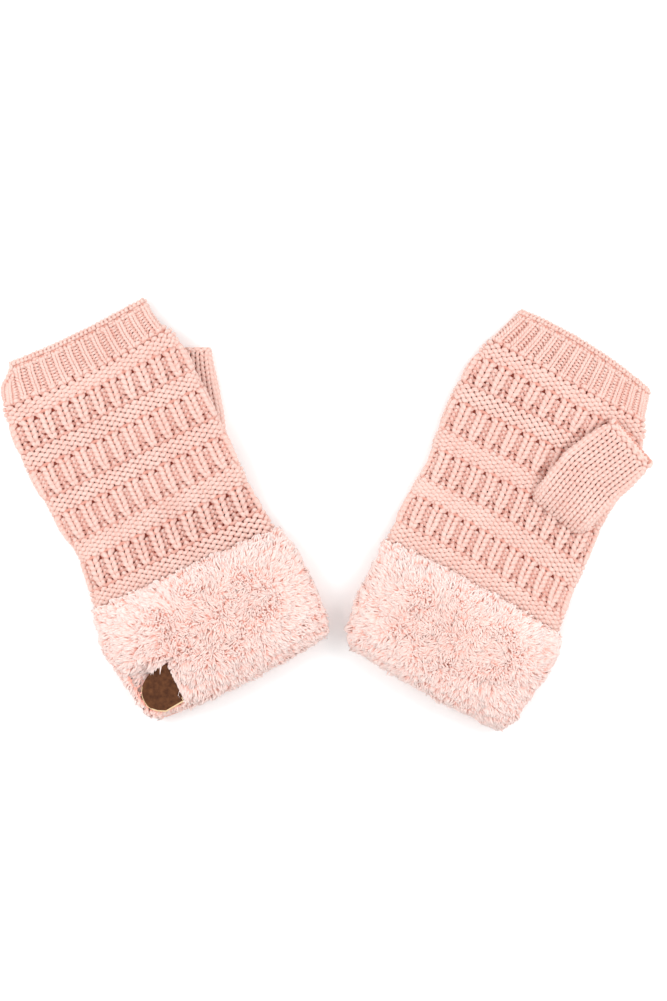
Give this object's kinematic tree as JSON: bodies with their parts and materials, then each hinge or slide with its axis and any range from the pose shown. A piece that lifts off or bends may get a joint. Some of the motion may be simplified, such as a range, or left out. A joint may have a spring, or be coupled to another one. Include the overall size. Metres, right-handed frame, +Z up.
{
  "type": "pair of fingerless knitted gloves",
  "caption": "Pair of fingerless knitted gloves with open thumbs, ribbed finger edges and turned plush cuffs, laid flat side by side.",
  "frame": {"origin": "on the surface under the middle of the pair's box, seen from above", "axes": "+X across the pair from the left glove to the right one, +Y towards the fingers, +Z up off the surface"},
  "size_m": [0.3488, 0.2302, 0.0246],
  "materials": {
    "knit": "matt rose knitting yarn",
    "plush": "soft pale blush plush with tufted locks",
    "leather": "dark brown smooth leather, blank"
  },
  "bodies": {
    "root": {"left_hand": "knit", "left_finger_rib": "knit", "left_thumb": "knit", "left_cuff": "plush", "left_label": "leather", "right_hand": "knit", "right_finger_rib": "knit", "right_thumb": "knit", "right_cuff": "plush"}
  },
  "joints": []
}
